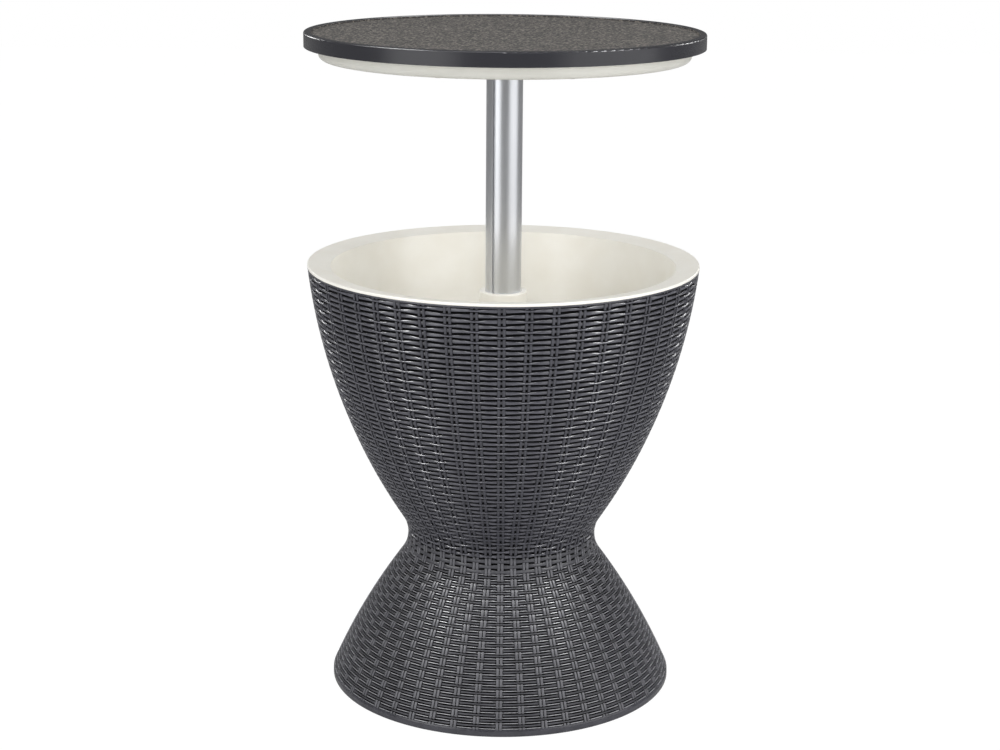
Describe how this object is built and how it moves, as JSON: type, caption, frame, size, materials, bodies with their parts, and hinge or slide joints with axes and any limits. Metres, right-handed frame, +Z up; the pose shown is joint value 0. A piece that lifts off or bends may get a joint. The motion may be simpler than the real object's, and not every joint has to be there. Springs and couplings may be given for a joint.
{
  "type": "cooler table",
  "caption": "Round table that is also an ice cooler: hourglass woven-look body, cream liner with a drain, and a flat lid that lifts on a central grooved pole.",
  "frame": {"origin": "Centre of the foot's ring on the floor.", "axes": "+Z runs up the pole, -Y is the front that the picture shows, +X is to the right in the picture, and the drain faces +Y. The lid is stored raised and locked."},
  "size_m": [0.4949, 0.495, 0.84],
  "materials": {
    "dark_plastic": "fine stipple on the top, satin on the band",
    "woven_plastic": "satin, moulded weave",
    "cream_plastic": "satin",
    "inner_plastic": "plain",
    "brushed_aluminium": "brushed along its length",
    "screw_steel": "plain",
    "seal_rubber": "plain"
  },
  "bodies": {
    "body": {"guide_collar": "cream_plastic", "inner_liner": "cream_plastic", "guide_tube": "inner_plastic", "bowl_shell": "woven_plastic", "base_skirt": "woven_plastic", "guide_tube_screws": "screw_steel", "base_screws": "screw_steel", "drain_spigot": "inner_plastic", "drain_seal": "seal_rubber", "drain_nut": "inner_plastic"},
    "lock_bush": {"turning_bush": "inner_plastic"},
    "lid": {"table_top": "dark_plastic", "lid_underside": "cream_plastic", "lid_screws": "screw_steel", "pole_socket": "cream_plastic", "socket_screws": "screw_steel", "pole": "brushed_aluminium", "pole_top_screws": "screw_steel", "pole_end_stop": "inner_plastic", "end_stop_screws": "screw_steel"},
    "plug": {"drain_plug": "seal_rubber"}
  },
  "joints": [
    {"name": "twist", "type": "hinge", "parent": "body", "child": "lock_bush", "pos_m": [0, 0, 0.49], "axis": [0, 0, 1], "range_deg": [0, 45]},
    {"name": "lift", "type": "slide", "parent": "lock_bush", "child": "lid", "axis": [0, 0, 1], "range_m": [-0.257, 0]},
    {"name": "plug_pull", "type": "slide", "parent": "body", "child": "plug", "axis": [0, 1, 0], "range_m": [0, 0.045]}
  ]
}
